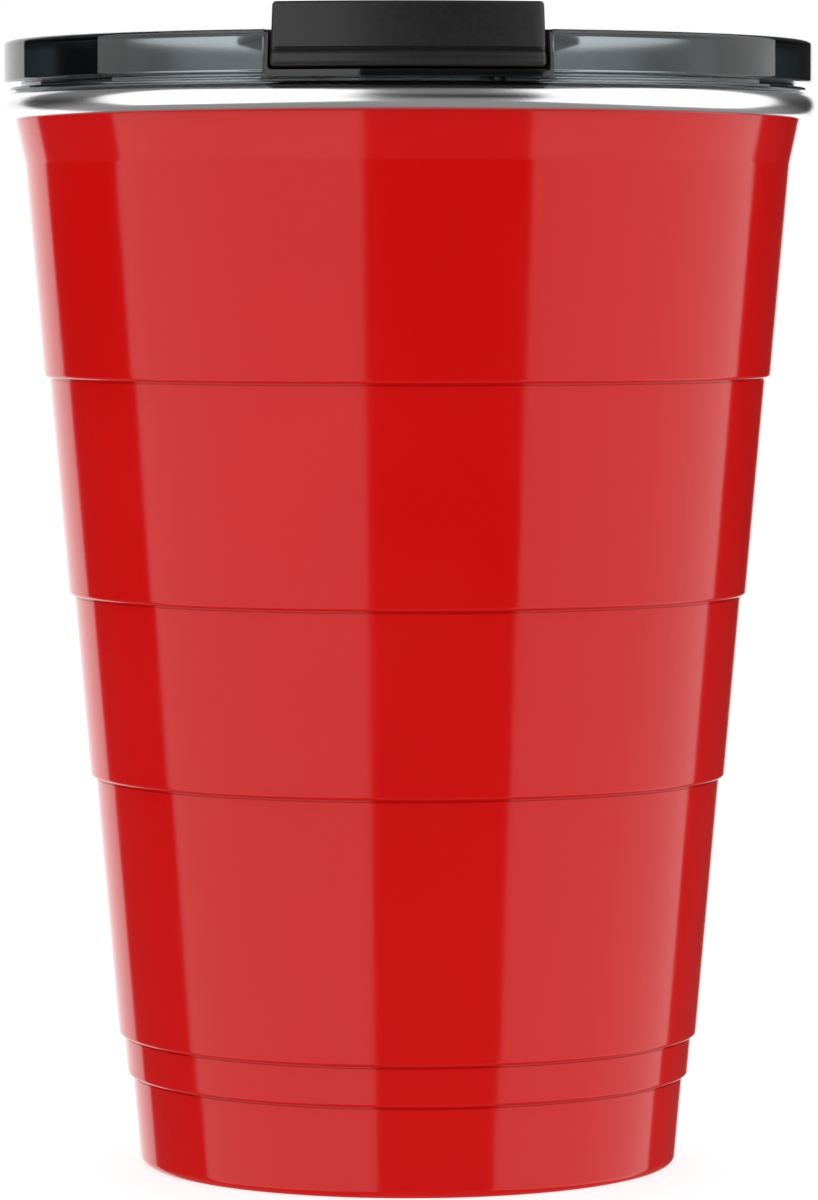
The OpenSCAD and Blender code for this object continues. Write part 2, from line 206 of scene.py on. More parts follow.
def plug(mat, target, name, value):
    """Set one input of a node, or link it to a (node, output) pair."""
    socket = target.inputs[int(name)] if name.isdigit() else target.inputs[name]
    if isinstance(value, tuple) and isinstance(value[0], bpy.types.Node):
        mat.node_tree.links.new(value[0].outputs[value[1]], socket)
    else:
        socket.default_value = value


def grain(mat, scale, detail=3.0):
    """Noise on the object's own coordinates, so many cells to the metre."""
    place = (node(mat, "ShaderNodeTexCoord"), "Object")
    return node(mat, "ShaderNodeTexNoise", Vector=place, Scale=scale, Detail=detail)


def spread(mat, source, low, high):
    """Carry a noise's usual range, 0.3 to 0.7, over to low and high."""
    made = node(mat, "ShaderNodeMapRange", Value=source)
    for key, value in zip(("From Min", "From Max", "To Min", "To Max"), (0.3, 0.7, low, high)):
        made.inputs[key].default_value = value
    return (made, "Result")


def tint(mat, source, dark, light):
    """Mix two colours by a noise's usual range."""
    made = node(mat, "ShaderNodeValToRGB", Fac=source)
    made.color_ramp.elements[0].position = 0.3
    made.color_ramp.elements[0].color = (*dark, 1)
    made.color_ramp.elements[1].position = 0.7
    made.color_ramp.elements[1].color = (*light, 1)
    return (made, "Color")


def dress(mat, **linked):
    """Link worked-out values to the material's shader; height gives it a bump of that depth."""
    shader = mat.node_tree.nodes["Principled BSDF"]
    for name, value in linked.items():
        if name == "height":
            source, depth = value
            bump = node(mat, "ShaderNodeBump", Height=source, Strength=1.0, Distance=depth)
            value, name = (bump, "Normal"), "Normal"
        plug(mat, shader, name.replace("_", " "), value)
    return mat


# The paint's colour drifts a little with the thickness of the coat, and its surface keeps the
# faint, shallow ripple of sprayed lacquer.
red_paint = finish("red_lacquer", IOR=1.36, Roughness=0.1)
coat = grain(red_paint, 22, 2)
ripple = grain(red_paint, 420, 1)
dress(
    red_paint,
    Base_Color=tint(red_paint, (coat, "Fac"), (0.555, 0.0011, 0.0010), (0.585, 0.0020, 0.0018)),
    Roughness=spread(red_paint, (grain(red_paint, 60, 4), "Fac"), 0.085, 0.115),
    height=((ripple, "Fac"), 3e-6),
)

outer = lathe("painted_wall", rounded(wall_outline()), sectors=320)
outer.data.materials.append(red_paint)
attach(outer, "tumbler")
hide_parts("outer_shell")


# Liner and rim

# The liner is the cup that holds the drink: deep-drawn stainless sheet with a straight mouth for
# the lid's ring. Its mouth is rolled out over the outer wall and polished bright as the bead.

mouth_z, neck_z, floor_z = 127.3, 123.3, 8.2
mouth_r = tier_r(5, mouth_z) - 1.3
neck_r = tier_r(5, neck_z) - 4
floor_r = tier_r(0, floor_z) - 4
paint_r = tier_r(5, shoulder_z) + flare_h * tan(radians(flare_deg))
bead = rim_h / 2
crown = paint_r + rim_out - bead


def arc(x, y, r, a0, a1, n=10):
    """Points of an arc about (x, y) from angle a0 to a1, in degrees."""
    a = np.radians(np.linspace(a0, a1, n + 1))
    return np.stack([x + r * np.cos(a), y + r * np.sin(a)], 1)


def ease(x0, y0, x1, y1, n=12):
    """A gentle S from one point to another, following half a wave of the cosine."""
    t = np.linspace(0, 1, n + 1)
    return np.stack([x0 + (x1 - x0) * (1 - np.cos(np.pi * t)) / 2, y0 + (y1 - y0) * t], 1)


def liner_outline():
    """The liner's section: up its outer face, over the bead, and down its inner face."""
    mid = paint_z + bead
    top = (crown + mouth_r + bead) / 2
    return np.vstack([
        [[0, floor_z - wall_t], [floor_r - 4.1, floor_z - wall_t]],
        arc(floor_r - 4, floor_z + 4, 4 + wall_t, -90, 0),
        ease(neck_r + wall_t, neck_z, mouth_r + wall_t, mouth_z),
        [[mouth_r + wall_t, rim_z - wall_t], [paint_r, rim_z - wall_t], [paint_r, paint_z]],
        arc(crown, mid, bead, -80, 60, 24),
        [[top + 0.35, rim_z], [top - 0.35, rim_z]],
        arc(mouth_r + bead, mid, bead, 120, 180, 12),
        ease(neck_r, neck_z, mouth_r, mouth_z)[::-1],
        arc(floor_r - 4, floor_z + 4, 4, 0, -90),
        [[floor_r - 4.1, floor_z], [0, floor_z]],
    ])


def turned(mat, fine, along=0.02):
    """Noise drawn out round the axis, for lines that turning or polishing leaves.

    The noise is looked up at (distance from the axis, height) finely, and at x and y coarsely,
    so each line runs round the piece and slowly fades in and out.
    """
    place = node(mat, "ShaderNodeTexCoord")
    split = node(mat, "ShaderNodeSeparateXYZ", Vector=(place, "Object"))
    flat = node(mat, "ShaderNodeCombineXYZ", X=(split, "X"), Y=(split, "Y"))
    radius = node(mat, "ShaderNodeVectorMath", Vector=(flat, "Vector"))
    radius.operation = "LENGTH"
    ring = node(mat, "ShaderNodeCombineXYZ", X=(radius, "Value"), Z=(split, "Z"))
    drift = node(mat, "ShaderNodeVectorMath", Vector=(flat, "Vector"))
    drift.operation = "SCALE"
    drift.inputs["Scale"].default_value = along
    both = node(mat, "ShaderNodeVectorMath", Vector=(ring, "Vector"))
    both.operation = "ADD"
    mat.node_tree.links.new(drift.outputs["Vector"], both.inputs[1])
    return node(mat, "ShaderNodeTexNoise", Vector=(both, "Vector"), Scale=fine, Detail=3.0)


bright_steel = finish("polished_steel", Metallic=1.0, IOR=2.5)
lines = turned(bright_steel, 2600)
dress(
    bright_steel,
    Base_Color=tint(bright_steel, (lines, "Fac"), (0.68, 0.68, 0.69), (0.74, 0.74, 0.745)),
    Roughness=spread(bright_steel, (lines, "Fac"), 0.16, 0.24),
    height=((lines, "Fac"), 1.2e-6),
)

liner = lathe("steel_liner", liner_outline(), sectors=320, sharp=40)
liner.data.materials.append(bright_steel)
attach(liner, "tumbler")
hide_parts("inner_liner")


# Base disc

# The disc that closes the space between the walls: pressed from the same sheet, welded on the
# turned-in foot, set up in the middle so that it stands clear, with a dimple for pumping out.

foot_flat = tier_r(0, 0) - 1.2
base_flat = foot_flat - 2.9
under = np.array([
    [foot_flat, 0.5, 0.05], [base_flat, 0.5, 0.9], [base_flat - 2.5, 2.6, 0.9],
    [5, 2.6, 0.5], [4, 3.6, 0.5], [0.8, 3.6, 0.1],
])
over = under[::-1] + [0, 0.6, 0]
spun_steel = finish("spun_steel", Metallic=1.0, IOR=2.5)
spun = turned(spun_steel, 1500, 0.05)
dress(
    spun_steel,
    Base_Color=tint(spun_steel, (spun, "Fac"), (0.60, 0.60, 0.61), (0.72, 0.72, 0.725)),
    Roughness=spread(spun_steel, (spun, "Fac"), 0.22, 0.36),
    height=((spun, "Fac"), 4e-6),
)
base = lathe("base_disc_pressed", rounded(np.vstack([under, over])), sectors=192)
base.data.materials.append(spun_steel)
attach(base, "tumbler")
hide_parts("base_disc")


# Seal bead

# A drop of solder glass that was melted over the pump-out hole in the vacuum furnace. It sits in
# the disc's dimple, domed below, with a short stub that ran into the hole.

bead_outline = np.vstack([
    [[0, 2.9]], arc(1.5, 3.3, 0.4, -90, -60, 2), arc(1.9, 3.25, 0.68, -50, 10, 8),
    [[2.6, 3.45], [2.6, 3.6], [0.8, 3.6], [0.8, 4.08], [0, 4.08]],
])
bead_outline[:, 1] = np.maximum(bead_outline[:, 1], 2.9)
seal_glass = finish("solder_glass", Roughness=0.12, IOR=1.6, Coat_Weight=0.4, Coat_Roughness=0.05)
frit = grain(seal_glass, 900, 4)
dress(
    seal_glass,
    Base_Color=tint(seal_glass, (frit, "Fac"), (0.06, 0.075, 0.06), (0.15, 0.17, 0.14)),
    height=((frit, "Fac"), 3e-5),
)
seal = lathe("seal_bead_glass", bead_outline, sectors=64, sharp=50)
seal.data.materials.append(seal_glass)
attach(seal, "tumbler")
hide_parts("seal_bead")


# Getter

# The getter is a tablet of pressed metal powder, stuck on the base disc between the walls. Once
# it was heated it takes up the last of the gas for as long as the tumbler lives.


def slab(name, outline, place, low, high, edge, keep=(1, 1)):
    """A flat body with round edges from a closed outline (u, v).

    Rows of the outline follow a quarter circle at each face: a row that is depth h under the
    face is drawn in along the outline's normal by edge - sqrt(edge^2 - (edge - h)^2). The rows
    end in a flat cap. keep scales the edge at each face. place turns (u, v, w) into x, y, z.
    """
    loop = np.asarray(outline, float)
    ahead = np.roll(loop, -1, axis=0) - loop
    ahead /= np.linalg.norm(ahead, axis=1)[:, None]
    both = ahead + np.roll(ahead, 1, axis=0)
    both /= np.linalg.norm(both, axis=1)[:, None]
    area = (loop[:, 0] * np.roll(loop[:, 1], -1) - loop[:, 1] * np.roll(loop[:, 0], -1)).sum()
    inward = np.stack([-both[:, 1], both[:, 0]], 1) * np.sign(area)
    q = np.linspace(0, np.pi / 2, 5)
    first, last = edge * keep[0], edge * keep[1]
    draw = np.concatenate([first * (1 - np.sin(q)), last * (1 - np.sin(q[::-1]))])
    rise = np.concatenate([low + first * (1 - np.cos(q)), high - last * (1 - np.cos(q[::-1]))])
    uv = loop[None] + inward[None] * draw[:, None, None]
    w = np.broadcast_to(rise[:, None], uv.shape[:2])
    grid = np.stack(place(uv[..., 0], uv[..., 1], w), -1)
    return surface(name, grid, False, True)


def flat(u, v, w):
    """Lay an outline down: u along X, v along Y, and the thickness up."""
    return u, v, w


def ring_of(x, y, r, n=96):
    """A circle's outline."""
    return np.stack([x + r * np.cos(np.linspace(0, 2 * np.pi, n, endpoint=False)),
                     y + r * np.sin(np.linspace(0, 2 * np.pi, n, endpoint=False))], 1)


pressed_powder = finish("pressed_powder", Metallic=0.8, Roughness=0.55)
powder = grain(pressed_powder, 2400, 5)
dress(
    pressed_powder,
    Base_Color=tint(pressed_powder, (powder, "Fac"), (0.22, 0.23, 0.25), (0.40, 0.41, 0.43)),
    Roughness=spread(pressed_powder, (powder, "Fac"), 0.45, 0.7),
    height=((powder, "Fac"), 6e-5),
)
tablet = slab("getter_tablet", ring_of(14, 0, 5), flat, 3.2, 4.7, 0.25)
tablet.data.materials.append(pressed_powder)
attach(tablet, "tumbler")
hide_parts("getter")


# Lid

# The lid is one moulding of clear smoked plastic. A band with a flange rests on the rim, a skirt
# with a seat for the silicone ring goes into the mouth, and a thin floor lies in a recess. The
# front has a framed pocket for the closure's block, and two ears carry the hinge pin.

lid_z = rim_z + 0.1
band_z, band_top = lid_z + 0.95, lid_z + 6.3
lid_floor = band_top - 6.8
lid_under = lid_floor - 1.6
band_r = paint_r + 1.55
recess_r = 36.5
skirt_r = mouth_r - 0.8
skirt_in = skirt_r - 3.1
skirt_z = mouth_z + 2
ring_z = skirt_z + (lid_z - skirt_z - 3.4) / 2
seat_r = skirt_r - 1.5
block_z = band_z + 0.75
block_top = band_top + 3.3
face_r = band_r + 1.2
block_back = face_r - 5.6
land_z = block_z - 0.3
hinge_y, hinge_z = 9.5, lid_floor + 6.1
ear_in, ear_out = 9.4, 12.2
pin_r, barrel_r = 1, 2.5
bridge_w, land_w = 15.6, 17.2
closure_gap, frame_w = 0.3, 0.5


def join(obj, other, how):
    """Unite obj with another solid, or cut it by one. The other solid is used up."""
    step = obj.modifiers.new("join", "BOOLEAN")
    step.operation, step.solver, step.object = how, "EXACT", other
    graph = bpy.context.evaluated_depsgraph_get()
    made = bpy.data.meshes.new_from_object(obj.evaluated_get(graph))
    obj.modifiers.clear()
    obj.data = made
    made.name = obj.name
    bpy.data.objects.remove(other)
    bm = bmesh.new()
    bm.from_mesh(made)
    bmesh.ops.remove_doubles(bm, verts=bm.verts, dist=5e-7)
    bm.to_mesh(made)
    bm.free()
    made.shade_smooth()
    made.set_sharp_from_angle(angle=radians(32))
    return obj


def sideways(u, v, w):
    """Stand an outline (y, z) up and give it thickness along X."""
    return w, u, v


def forwards(u, v, w):
    """Stand an outline (x, z) up and give it thickness along Y."""
    return u, w, v


def stadium(x_half, y_half, y0, n=24):
    """Outline of a slot: two half circles joined by straight sides."""
    a = np.linspace(-np.pi / 2, np.pi / 2, n + 1)
    right = np.stack([x_half - y_half + y_half * np.cos(a), y0 + y_half * np.sin(a)], 1)
    return np.vstack([right, np.stack([-right[:, 0], 2 * y0 - right[:, 1]], 1)])


def block_half(z, grow=0.0):
    """Half the block's width at a height: its sides draw in a little towards the top."""
    return 16.7 + grow - 0.3 * (z - block_z) / (block_top - block_z)


lid_section = np.array([
    [0, lid_under, 0], [recess_r + 1.6, lid_under, 0.8], [recess_r + 1.6, band_z, 0.8],
    [skirt_in, band_z, 0.8], [skirt_in, skirt_z, 0.5], [skirt_r, skirt_z, 0.5],
    [skirt_r, ring_z, 0.1], [seat_r, ring_z, 0.1], [seat_r, ring_z + 3.4, 0.1],
    [skirt_r, ring_z + 3.4, 0.1], [skirt_r, lid_z, 0.15], [band_r - 0.7, lid_z, 0.1],
    [band_r - 0.7, lid_z + 0.35, 0.1], [band_r - 2.2, lid_z + 0.35, 0.1],
    [band_r - 2.2, band_z, 0.1], [band_r, band_z, 0.45], [band_r, band_top, 0.45],
    [recess_r, band_top, 0.45], [recess_r, lid_floor, 0.45], [0, lid_floor, 0],
])
lid = lathe("smoked_lid", rounded(lid_section, closed=False), sectors=288)


def ear_outline(r, y, top, foot):
    """An arch: a half circle of radius r about (y, top), and straight sides down to foot."""
    a = np.linspace(0, np.pi, 33)
    return np.vstack([np.stack([y + r * np.cos(a), top + r * np.sin(a)], 1),
                      [[y - r, foot], [y + r, foot]]])


side_a = np.arcsin(land_w / (skirt_in + 1))
bend = np.linspace(-side_a, side_a, 25)
land_loop = np.vstack([
    np.stack([(skirt_in + 1) * np.sin(bend), -(skirt_in + 1) * np.cos(bend)], 1),
    rounded([[land_w, -40, 0], [land_w, 8 - recess_r, 1.2],
             [-land_w, 8 - recess_r, 1.2], [-land_w, -40, 0]], closed=False)[1:-1],
])
join(lid, slab("land", land_loop, flat, lid_under, land_z, 0.3, keep=(0.1, 1)), "UNION")

for side in (-1, 1):
    low, high = sorted((side * ear_in, side * ear_out))
    arch = ear_outline(2.8, hinge_y, hinge_z, lid_floor - 0.8)
    join(lid, slab("lid_ear", arch, sideways, low, high, 0.3), "UNION")

frame_out = closure_gap + frame_w
frame_back = frame_out - block_back
low, high = block_half(block_z, frame_out), block_half(block_top, frame_out)
notch_w = bridge_w + closure_gap
pocket = rounded([[low, block_z - 1.2, 0.5], [high, block_top + 2, 0.1],
                  [-high, block_top + 2, 0.1], [-low, block_z - 1.2, 0.5]])
join(lid, slab("pocket", pocket, forwards, -56, frame_back, 0.01), "DIFFERENCE")
channel = rounded([[notch_w, -block_back - 1, 0.1], [notch_w, -0.8 * recess_r, 0.1],
                   [-notch_w, -0.8 * recess_r, 0.1], [-notch_w, -block_back - 1, 0.1]])
join(lid, slab("channel", channel, flat, land_z, block_top + 1, 0.01), "DIFFERENCE")
open_y = -(skirt_in - 2.3 - 4)
opening = slab("opening", stadium(11, 4, open_y), flat, lid_under - 1, land_z + 1, 0.01)
join(lid, opening, "DIFFERENCE")
vent = slab("vent", ring_of(0, 30, 1.1, 48), flat, lid_under - 1, lid_floor + 1, 0.01)
join(lid, vent, "DIFFERENCE")
pin_bore = slab("pin_bore", ring_of(hinge_y, hinge_z, pin_r, 48), sideways, -14, 14, 0.01)
join(lid, pin_bore, "DIFFERENCE")

smoked = finish("smoked_clear", Roughness=0.03, IOR=1.5, Transmission_Weight=1.0)
place = node(smoked, "ShaderNodeTexCoord")
split = node(smoked, "ShaderNodeSeparateXYZ", Vector=(place, "Object"))
round_it = node(smoked, "ShaderNodeCombineXYZ", X=(split, "X"), Y=(split, "Y"))
out_r = node(smoked, "ShaderNodeVectorMath", Vector=(round_it, "Vector"))
out_r.operation = "LENGTH"
frost = node(smoked, "ShaderNodeMapRange", Value=(out_r, "Value"))
for key, value in zip(("From Min", "From Max", "To Min", "To Max"), (0.03665, 0.0368, 0.13, 0.03)):
    frost.inputs[key].default_value = value
haze = grain(smoked, 35, 3)
dress(
    smoked,
    Base_Color=tint(smoked, (haze, "Fac"), (0.965, 0.98, 0.985), (0.985, 0.995, 1.0)),
    Roughness=(frost, "Result"),
)
smoke = node(smoked, "ShaderNodeVolumeAbsorption", Color=(0.42, 0.46, 0.48, 1.0), Density=188.0)
smoked.node_tree.links.new(
    smoke.outputs["Volume"], smoked.node_tree.nodes["Material Output"].inputs["Volume"])
lid.data.materials.clear()
lid.data.materials.append(smoked)
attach(lid, "lid")
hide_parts("lid_body")


# Pocket frame

# A glossy black moulding pressed into the pocket. It lines the pocket's sides, bottom and back,
# stands out past the band as a narrow frame round the closure's block, and its back has a notch
# for the bridge between the block and the plate.

frame_r = band_r + 0.6
frame_top = band_top - 0.4


def u_path(grow, foot):
    """Points (x, z) down one side of the block, along under it and up the other side."""
    low, high = block_half(block_z, grow), block_half(frame_top, grow)
    t = np.linspace(0, 1, 5)[:-1, None]
    side = np.array([high, frame_top]) * (1 - t) + np.array([low, foot + 0.5]) * t
    corner = arc(low - 0.5, foot + 0.5, 0.5, 0, -90, 6)
    under = np.linspace(low - 0.5, 0.5 - low, 37)[1:-1]
    half = np.vstack([side, corner])
    return np.vstack([half, np.stack([under, foot + 0 * under], 1), half[::-1] * [-1, 1]])


out_grow, out_foot = frame_out - 0.01, block_z - 1.19
outside, inside = u_path(out_grow, out_foot), u_path(closure_gap, block_z - closure_gap)
wall = np.linalg.norm(inside - outside, axis=1)[:, None]
quarter = np.linspace(0, np.pi / 2, 5)
shift = np.concatenate([[0], 0.08 * (1 - np.cos(quarter))])
ahead = np.concatenate([[frame_back - 0.5], -frame_r + 0.08 * (1 - np.sin(quarter))])
at = np.hstack([shift + 0 * wall, wall - shift[::-1]])
depth = np.concatenate([ahead, ahead[::-1]])
xz = outside[:, None] + ((inside - outside) / wall)[:, None] * at[..., None]
# The front rows are moved back onto the frame's round face, by frame_r - sqrt(frame_r^2 - x^2).
y = depth + (frame_r - np.sqrt(frame_r ** 2 - xz[..., 0] ** 2)) * (depth < -50)
pocket_frame = surface("black_frame", np.stack([xz[..., 0], y, xz[..., 1]], -1), False, True)
outer_low, outer_high = block_half(block_z, out_grow), block_half(frame_top, out_grow)
notch = land_z + 2.4
back_loop = rounded([
    [outer_high, frame_top, 0.2], [notch_w, frame_top, 0.1], [notch_w, notch, 0.2],
    [-notch_w, notch, 0.2], [-notch_w, frame_top, 0.1], [-outer_high, frame_top, 0.2],
    [-outer_low, out_foot, 0.5], [outer_low, out_foot, 0.5],
], bends=4)
back_wall = slab("frame_back", back_loop, forwards, frame_back - 0.52, frame_back, 0.05)
join(pocket_frame, back_wall, "UNION")

glossy_black = finish("glossy_black", Roughness=0.06, IOR=1.56)
flow = grain(glossy_black, 70, 3)
dress(
    glossy_black,
    Base_Color=tint(
        glossy_black, (flow, "Fac"), (0.0028, 0.0028, 0.0031), (0.0045, 0.0045, 0.0048)),
    Roughness=spread(glossy_black, (flow, "Fac"), 0.04, 0.09),
)
pocket_frame.data.materials.clear()
pocket_frame.data.materials.append(glossy_black)
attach(pocket_frame, "lid")
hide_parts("pocket_frame")


# Silicone ring

# The ring that seals and holds the lid: translucent grey silicone, stretched into the skirt's
# seat, with two soft lips that wipe the mouth.

ring_r = mouth_r - 0.08
root = seat_r + (ring_r - seat_r) * 0.45
ring_outline = rounded([
    [seat_r, ring_z, 0.15], [root, ring_z, 0.2], [ring_r, ring_z + 0.66, 0.15],
    [ring_r, ring_z + 1.1, 0.15], [root, ring_z + 1.3, 0.25], [root, ring_z + 2.1, 0.25],
    [ring_r, ring_z + 2.74, 0.15], [ring_r, ring_z + 3.18, 0.15], [root, ring_z + 3.4, 0.2],
    [seat_r, ring_z + 3.4, 0.15],
])
silicone = finish("grey_silicone", Roughness=0.5, IOR=1.41, Subsurface_Weight=0.15,
                  Subsurface_Scale=0.002)
skin = grain(silicone, 1400, 3)
dress(
    silicone,
    Base_Color=tint(
        silicone, (grain(silicone, 90, 2), "Fac"), (0.27, 0.28, 0.29), (0.33, 0.34, 0.35)),
    Roughness=spread(silicone, (skin, "Fac"), 0.42, 0.58),
    height=((skin, "Fac"), 8e-6),
)
gasket = lathe("lid_ring", ring_outline, sectors=256)
gasket.data.materials.append(silicone)
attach(gasket, "lid")
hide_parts("lid_gasket")


# Closure

# The closure is one black moulding: a front block with a crease and a finger lip, a round plate
# over the opening, and a tongue with the hinge's barrel. A heel on the barrel stops it open.

crease_z = block_z + 2.1
lip = 1.05


def bar(name, section, half_w, edge, across, bends=5):
    """A moulded bar across the lid's front: a section (reach from the axis, height) carried
    sideways over x from -half_w to half_w.

    Its front follows the lid: y = -sqrt(reach^2 - x^2), and its back stays straight, by a weight
    that grows with reach. Its two ends are drawn in along a quarter circle, and half_w is a
    function of height.
    """
    loop = np.asarray(section, float)
    ahead = np.roll(loop, -1, axis=0) - loop
    ahead /= np.linalg.norm(ahead, axis=1)[:, None]
    both = ahead + np.roll(ahead, 1, axis=0)
    both /= np.linalg.norm(both, axis=1)[:, None]
    area = (loop[:, 0] * np.roll(loop[:, 1], -1) - loop[:, 1] * np.roll(loop[:, 0], -1)).sum()
    inward = np.stack([-both[:, 1], both[:, 0]], 1) * np.sign(area)
    q = np.linspace(0, np.pi / 2, bends + 1)
    off = edge * (1 - np.cos(q))
    round_end = edge * (1 - np.sin(q))
    draw = np.concatenate([round_end, np.zeros(across - 1), round_end[::-1]])
    mid = np.linspace(-1, 1, across + 1)[1:-1]
    rz = loop[None] + inward[None] * draw[:, None, None]
    half = half_w(rz[..., 1])
    x = np.concatenate([
        -half[:bends + 1] + off[:, None],
        (half[bends + 1:-bends - 1] - edge) * mid[:, None],
        half[-bends - 1:] - off[::-1][:, None],
    ])
    r = rz[..., 0]
    weight = np.clip((r - loop[:, 0].min()) / np.ptp(loop[:, 0]) * 2, 0, 1)
    y = -(r + (np.sqrt(r * r - x * x) - r) * weight)
    return surface(name, np.stack([x, y, rz[..., 1]], -1), False, True)


block_section = np.vstack([
    rounded([[block_back, block_z, 0.3], [face_r - 0.6, block_z, 0]], closed=False)[:-1],
    arc(face_r + 0.45 - lip, block_z + lip, lip, -90, 48, 14),
    [[face_r - 0.22, crease_z - 0.09], [face_r - 0.3, crease_z], [face_r - 0.26, crease_z + 0.1]],
    [[face_r - 0.03, crease_z + 0.32], [face_r, crease_z + 0.45], [face_r, block_top - 0.6]],
    arc(face_r - 0.5, block_top - 0.5, 0.5, 0, 90, 6),
    arc(block_back + 0.4, block_top - 0.4, 0.4, 90, 180, 5),
])
closure = bar("closure_black", block_section, block_half, 0.5, across=40)

plate_z, plate_top = land_z + 2.7, land_z + 4.9
plate_front, plate_end = -(recess_r - 0.45 - 1.5), hinge_y - 3.1
plate_r = (plate_end - plate_front) / 2
plate_y = (plate_end + plate_front) / 2
disc = lathe("plate", rounded([
    [0, plate_z, 0], [plate_r - 5, plate_z, 3], [plate_r, plate_top - 0.9, 0.2],
    [plate_r, plate_top, 0.35], [0, plate_top, 0]], closed=False), sectors=192, centre=(0, plate_y))
bridge = slab("bridge", rounded([
    [-bridge_w, -block_back - 1, 0.1], [bridge_w, -block_back - 1, 0.1],
    [bridge_w, plate_y, 0.6], [-bridge_w, plate_y, 0.6]]), flat, plate_z, plate_top, 0.3)
tongue = slab("tongue", rounded([
    [-8.8, hinge_y - plate_r / 2, 0.3], [8.8, hinge_y - plate_r / 2, 0.3],
    [8.8, hinge_y, 0.3], [-8.8, hinge_y, 0.3]]), flat, plate_z, plate_top, 0.3)
barrel = slab("barrel", ring_of(hinge_y, hinge_z, barrel_r), sideways, -9.1, 9.1, 0.3)
reach = 5.9
front = np.sqrt(6.1 ** 2 - reach * reach) * 0.8
thick = reach - 1 - 0.05 - 0.2
corners = rounded([[-front, -reach, 0.15], [2, -reach, 0.3],
                   [2, thick - reach, 0.3], [-front, thick - reach, 0.1]], bends=3)
swing = radians(105)
heel_loop = np.stack([
    hinge_y + corners[:, 0] * np.cos(swing) - corners[:, 1] * np.sin(swing),
    hinge_z + corners[:, 0] * np.sin(swing) + corners[:, 1] * np.cos(swing),
], 1)
heel = slab("heel", heel_loop, sideways, -8.8, 8.8, 0.15)
for part in (disc, bridge, tongue, barrel, heel):
    join(closure, part, "UNION")
bore = slab("bore", ring_of(hinge_y, hinge_z, pin_r + 0.05, 48), sideways, -10.5, 10.5, 0.01)
join(closure, bore, "DIFFERENCE")
pad_loop = stadium(12.5, 5.5, open_y)
join(closure, slab("pad_seat", pad_loop, flat, plate_z - 1, plate_z + 0.8, 0.01), "DIFFERENCE")

satin_black = finish("satin_black", Roughness=0.34, IOR=1.4)
moulded = grain(satin_black, 1800, 3)
dress(
    satin_black,
    Base_Color=tint(satin_black, (grain(satin_black, 40, 3), "Fac"),
                    (0.010, 0.010, 0.0103), (0.0135, 0.0132, 0.0132)),
    Roughness=spread(satin_black, (moulded, "Fac"), 0.29, 0.38),
    height=((moulded, "Fac"), 5e-6),
)
closure.data.materials.clear()
closure.data.materials.append(satin_black)
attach(closure, "closure")
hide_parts("closure_flap")


# Seal pad

# A pad of the same silicone, pressed into the seat under the plate. It covers the drinking
# opening and reaches past its edge all round.

pad = slab("seal_pad", pad_loop, flat, land_z + 0.3, plate_z + 0.8, 0.3, keep=(1, 0.1))
pad.data.materials.append(silicone)
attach(pad, "closure")
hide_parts("closure_seal")


# Hinge pin

# A straight stainless pin with broken edges, pressed through both ears. The closure's barrel
# turns on it.

pin_round = ring_of(hinge_y, hinge_z, pin_r, 48)
pin = slab("hinge_pin_steel", pin_round, sideways, -ear_out, ear_out, 0.15)
pin.data.materials.append(spun_steel)
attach(pin, "lid")
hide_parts("hinge_pin")


# Studio

# A pale floor and a white room. Two tall soft boxes stand left and right of the camera and a
# third white screen behind, and they give the gloss its bands. The floor lets their light by.

floor_mesh = bpy.data.meshes.new("pale_floor")
floor_mesh.from_pydata([(-4, -4, 0), (4, -4, 0), (4, 4, 0), (-4, 4, 0)], [], [(0, 1, 2, 3)])
floor = bpy.data.objects.new("pale_floor", floor_mesh)
bpy.context.scene.collection.objects.link(floor)
pale = finish("pale_floor", Base_Color=(0.3, 0.3, 0.3, 1), Roughness=0.9,
              Emission_Color=(1, 1, 1, 1), Emission_Strength=0.76)
floor_mesh.materials.append(pale)
floor.visible_glossy = False
floor.visible_shadow = False

world = bpy.data.worlds.new("white_room")
bpy.context.scene.world = world
world.use_nodes = True
sky = world.node_tree.nodes["Background"]
ray = world.node_tree.nodes.new("ShaderNodeLightPath")
tone = world.node_tree.nodes.new("ShaderNodeMix")
tone.data_type = "RGBA"
way = world.node_tree.nodes.new("ShaderNodeTexCoord")
up = world.node_tree.nodes.new("ShaderNodeSeparateXYZ")
level = world.node_tree.nodes.new("ShaderNodeMapRange")
level.inputs["From Min"].default_value = -1
room = world.node_tree.nodes.new("ShaderNodeValToRGB")
stops = [(0.0, 0.34), (0.25, 0.34), (0.41, 0.09), (0.46, 0.03), (0.52, 0.035), (0.7, 0.2)]
while len(room.color_ramp.elements) < len(stops):
    room.color_ramp.elements.new(0.5)
for stop, (at, grey) in zip(room.color_ramp.elements, stops):
    stop.position, stop.color = at, (grey, grey, grey, 1)
world.node_tree.links.new(way.outputs["Generated"], up.inputs["Vector"])
world.node_tree.links.new(up.outputs["Z"], level.inputs["Value"])
world.node_tree.links.new(level.outputs["Result"], room.inputs["Fac"])
world.node_tree.links.new(room.outputs["Color"], tone.inputs["B"])
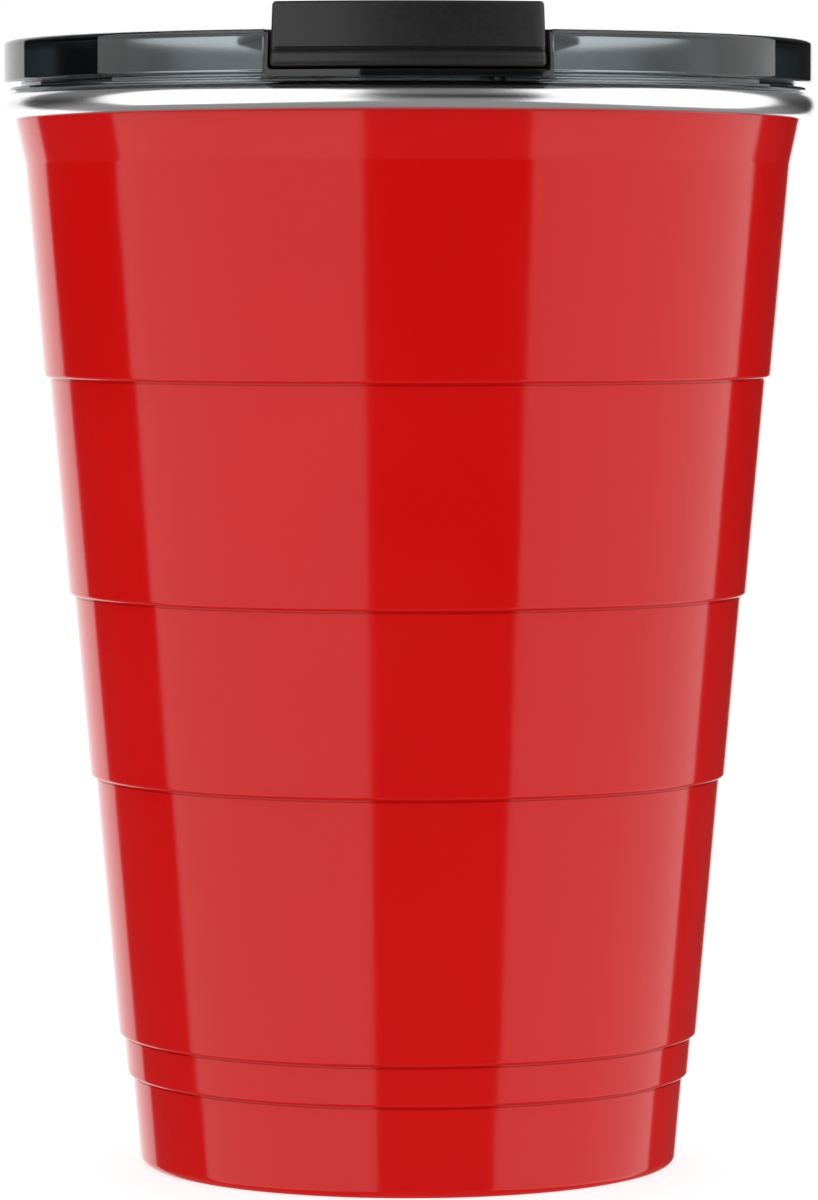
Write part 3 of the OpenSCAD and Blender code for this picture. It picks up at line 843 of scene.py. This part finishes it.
# Light through the lid comes from the backdrop, which is brighter than the picture can show and
# reaches 25 degrees to each side, or else from the grey rest of the room. Mirrored light comes
# from the dim room.
behind = world.node_tree.nodes.new("ShaderNodeMapRange")
for key, value in zip(("From Min", "From Max", "To Min", "To Max"), (0.91, 0.95, 0.08, 2.6)):
    behind.inputs[key].default_value = value
world.node_tree.links.new(up.outputs["Y"], behind.inputs["Value"])
backdrop = world.node_tree.nodes.new("ShaderNodeMix")
backdrop.data_type = "RGBA"
backdrop.inputs["A"].default_value = (1, 1, 1, 1)
world.node_tree.links.new(behind.outputs["Result"], backdrop.inputs["B"])
world.node_tree.links.new(ray.outputs["Is Transmission Ray"], backdrop.inputs["Factor"])
world.node_tree.links.new(backdrop.outputs["Result"], tone.inputs["A"])
mirrored = world.node_tree.nodes.new("ShaderNodeMath")
mirrored.operation, mirrored.use_clamp = "SUBTRACT", True
world.node_tree.links.new(ray.outputs["Is Glossy Ray"], mirrored.inputs[0])
world.node_tree.links.new(ray.outputs["Is Transmission Ray"], mirrored.inputs[1])
world.node_tree.links.new(mirrored.outputs["Value"], tone.inputs["Factor"])
world.node_tree.links.new(tone.outputs["Result"], sky.inputs["Color"])
world.cycles.sampling_method = "NONE"


def softbox(name, start, end, low, high, radiance):
    """A tall soft box whose front runs from one floor point to another, facing the tumbler."""
    (x0, y0), (x1, y1) = start, end
    width = np.hypot(x1 - x0, y1 - y0)
    lamp = bpy.data.lights.new(name, "AREA")
    lamp.shape = "RECTANGLE"
    lamp.size, lamp.size_y = width, high - low
    lamp.energy = radiance * np.pi * width * (high - low)
    box = bpy.data.objects.new(name, lamp)
    box.location = ((x0 + x1) / 2, (y0 + y1) / 2, (low + high) / 2)
    box.rotation_euler = (radians(90), 0, np.arctan2(y1 - y0, x1 - x0))
    box.visible_camera = False
    box.visible_diffuse = False
    bpy.context.scene.collection.objects.link(box)
    return box


def away(degrees, far=1.2):
    """The floor point that far out, at an angle from the camera's side, rightwards positive."""
    return far * np.sin(radians(degrees)), -far * np.cos(radians(degrees))


softbox("soft_left", away(-95.5), away(-13), -0.75, 1.5, 1.45)
softbox("soft_right", away(36.6), away(124.5), -0.75, 1.5, 1.45)
screen = softbox("screen_behind", away(162, 1.4), away(222, 1.7), -0.9, 1.6, 1.2)
screen.visible_transmission = False

camera = bpy.data.cameras.new("camera")
camera.lens = 185.05
camera.sensor_width = 36
camera.clip_start = 0.05
eye = bpy.data.objects.new("camera", camera)
eye.location = (0.0001, -0.79719, 0.11645)
eye.rotation_euler = (radians(90 - 3.129), 0, 0)
bpy.context.scene.collection.objects.link(eye)
bpy.context.scene.camera = eye
bpy.context.scene.view_settings.view_transform = "Standard"
